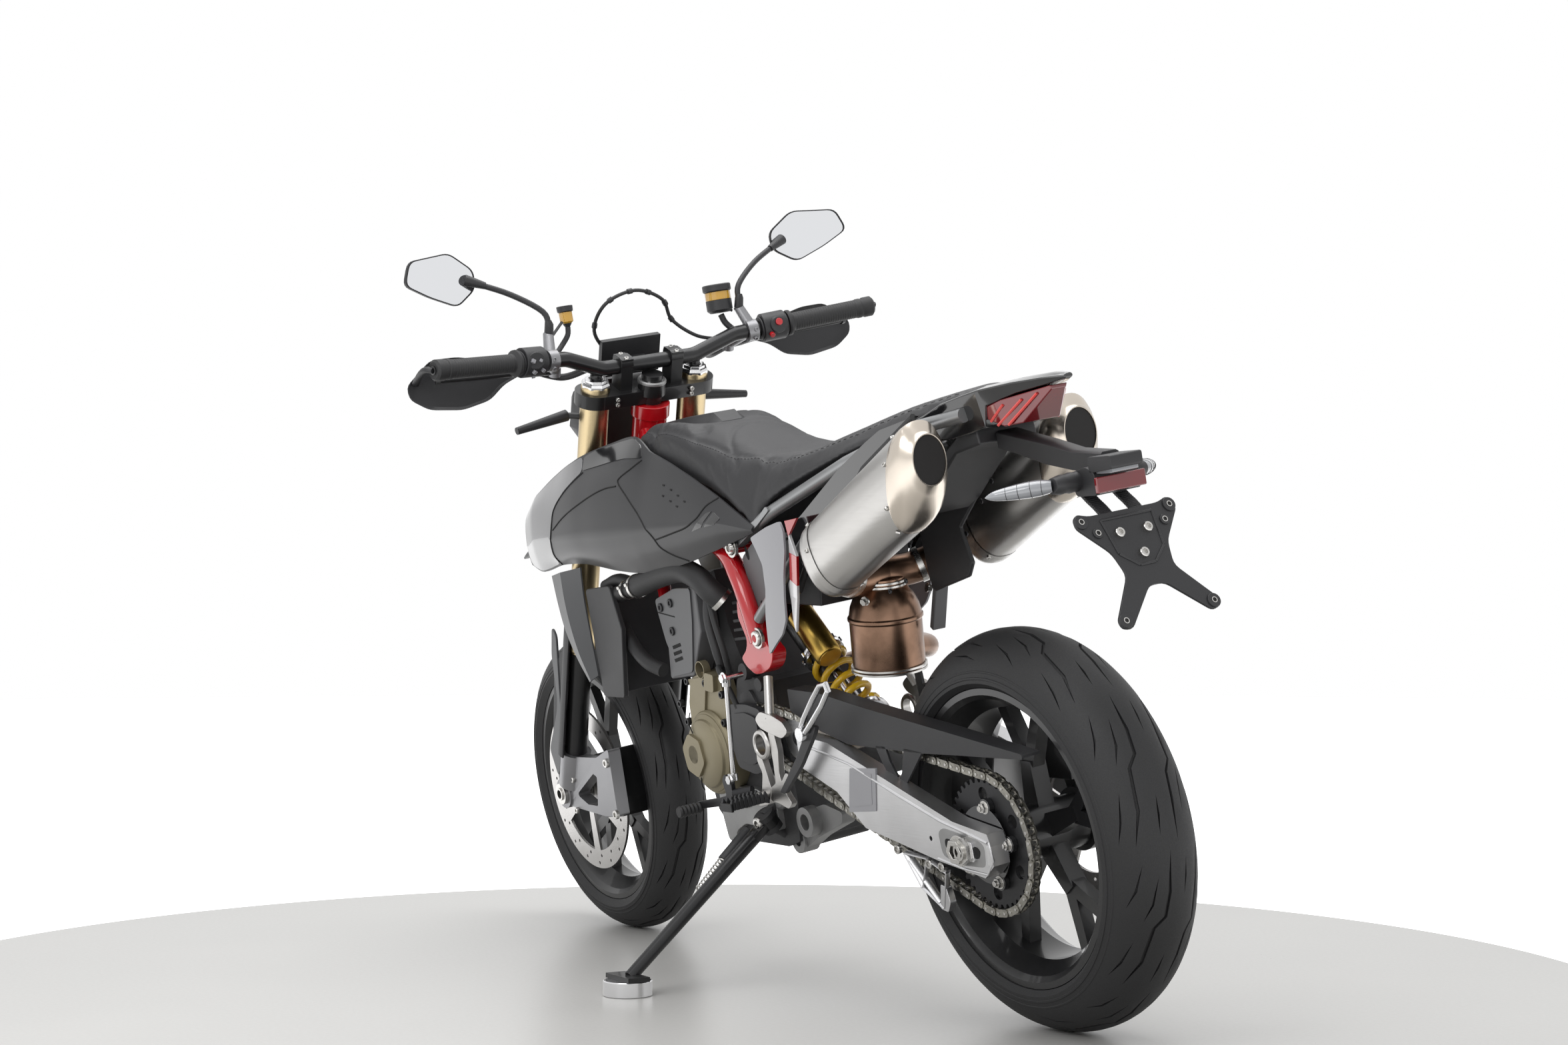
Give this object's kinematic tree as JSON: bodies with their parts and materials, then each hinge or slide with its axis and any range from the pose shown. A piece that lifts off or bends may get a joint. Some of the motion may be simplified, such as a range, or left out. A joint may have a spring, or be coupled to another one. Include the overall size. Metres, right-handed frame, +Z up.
{
  "type": "supermoto motorcycle",
  "caption": "Road motorcycle with wide bars, twin under-seat silencers and cast wheels, leaning on its side stand with a puck under its foot.",
  "frame": {"origin": "on the floor, under the middle of the bounding box", "axes": "+X towards the front wheel, +Y to the machine's left, the side it leans to, +Z up"},
  "size_m": [2.1318, 0.9536, 1.4137],
  "materials": {
    "tyre_rubber": "matt black tread rubber",
    "wheel_black": "satin black paint",
    "disc_steel": "ground steel",
    "sprocket_black": "black anodised",
    "axle_steel": "zinc plated steel",
    "swingarm_aluminium": "brushed aluminium",
    "chain_steel": "oiled steel",
    "black_plastic": "grained black plastic",
    "body_grey": "satin dark grey plastic",
    "grey_plastic": "plain grey plastic",
    "panel_silver": "silver grey paint",
    "caliper_grey": "dark anodised",
    "engine_metal": "cast, dull",
    "engine_bronze": "olive bronze paint",
    "frame_red": "gloss red paint",
    "subframe_grey": "grey silver paint",
    "shock_metal": "anodised aluminium",
    "spring_yellow": "yellow powder coat",
    "hose_rubber": "matt black rubber",
    "seat_vinyl": "matt black grained cover",
    "lens_red": "clear red lens",
    "lens_clear": "clear lens",
    "silencer_steel": "brushed stainless steel",
    "exhaust_copper": "heat tinted steel",
    "bare_aluminium": "bare aluminium",
    "clamp_black": "black anodised",
    "fork_gold": "gold anodised",
    "fork_grey": "aluminium grey paint",
    "grip_rubber": "ribbed rubber",
    "mirror_face": "mirror glass in a black shell",
    "stand_black": "black powder coat",
    "puck_aluminium": "turned aluminium"
  },
  "bodies": {
    "chassis": {"rear_axle": "axle_steel", "swingarm": "swingarm_aluminium", "chain": "chain_steel", "chain_guards": "black_plastic", "rear_caliper": "caliper_grey", "engine_block": "engine_metal", "engine_covers": "engine_bronze", "cylinder_covers": "grey_plastic", "main_frame": "frame_red", "subframe": "subframe_grey", "shock_absorber": "shock_metal", "shock_spring": "spring_yellow", "radiator": "black_plastic", "coolant_hoses": "hose_rubber", "airbox": "grey_plastic", "fuel_tank": "black_plastic", "tank_shrouds": "body_grey", "seat": "seat_vinyl", "tail_unit": "black_plastic", "plate_bracket": "black_plastic", "tail_lenses": "lens_red", "rear_indicators": "lens_clear", "silencers": "silencer_steel", "exhaust_pipe": "exhaust_copper", "side_panels": "panel_silver", "footpegs": "bare_aluminium", "foot_controls": "bare_aluminium"},
    "rear_wheel": {"rear_rim": "wheel_black", "rear_tyre": "tyre_rubber", "rear_disc": "disc_steel", "rear_sprocket": "sprocket_black"},
    "front_wheel": {"front_rim": "wheel_black", "front_tyre": "tyre_rubber", "front_disc": "disc_steel"},
    "steering": {"triple_clamps": "clamp_black", "fork_uppers": "fork_gold", "fork_stanchions": "clamp_black", "fork_feet": "fork_grey", "front_axle": "axle_steel", "front_caliper": "caliper_grey", "fork_guards": "black_plastic", "front_mudguard": "black_plastic", "headlight_mask": "black_plastic", "headlight": "lens_clear", "handlebar": "clamp_black", "grips": "grip_rubber", "hand_controls": "bare_aluminium", "handguards": "black_plastic", "mirrors": "mirror_face", "brake_hose": "hose_rubber", "front_indicators": "black_plastic"},
    "side_stand": {"side_stand": "stand_black", "stand_puck": "puck_aluminium"}
  },
  "joints": [
    {"name": "steering", "type": "hinge", "parent": "chassis", "child": "steering", "pos_m": [0.73444, -0.17069, 0.2808], "axis": [-0.4399, 0.1646, 0.8828], "range_deg": [-32, 32]},
    {"name": "front_wheel_spin", "type": "hinge", "parent": "steering", "child": "front_wheel", "pos_m": [0.76587, -0.16787, 0.29594], "axis": [0, 0.9831, -0.1833], "continuous": true},
    {"name": "rear_wheel_spin", "type": "hinge", "parent": "chassis", "child": "rear_wheel", "pos_m": [-0.67713, -0.16561, 0.30807], "axis": [0, 0.9831, -0.1833], "continuous": true},
    {"name": "side_stand", "type": "hinge", "parent": "chassis", "child": "side_stand", "pos_m": [-0.02513, -0.05967, 0.27611], "axis": [-0.069, 0.6691, 0.7399], "range_deg": [0, 73]}
  ]
}
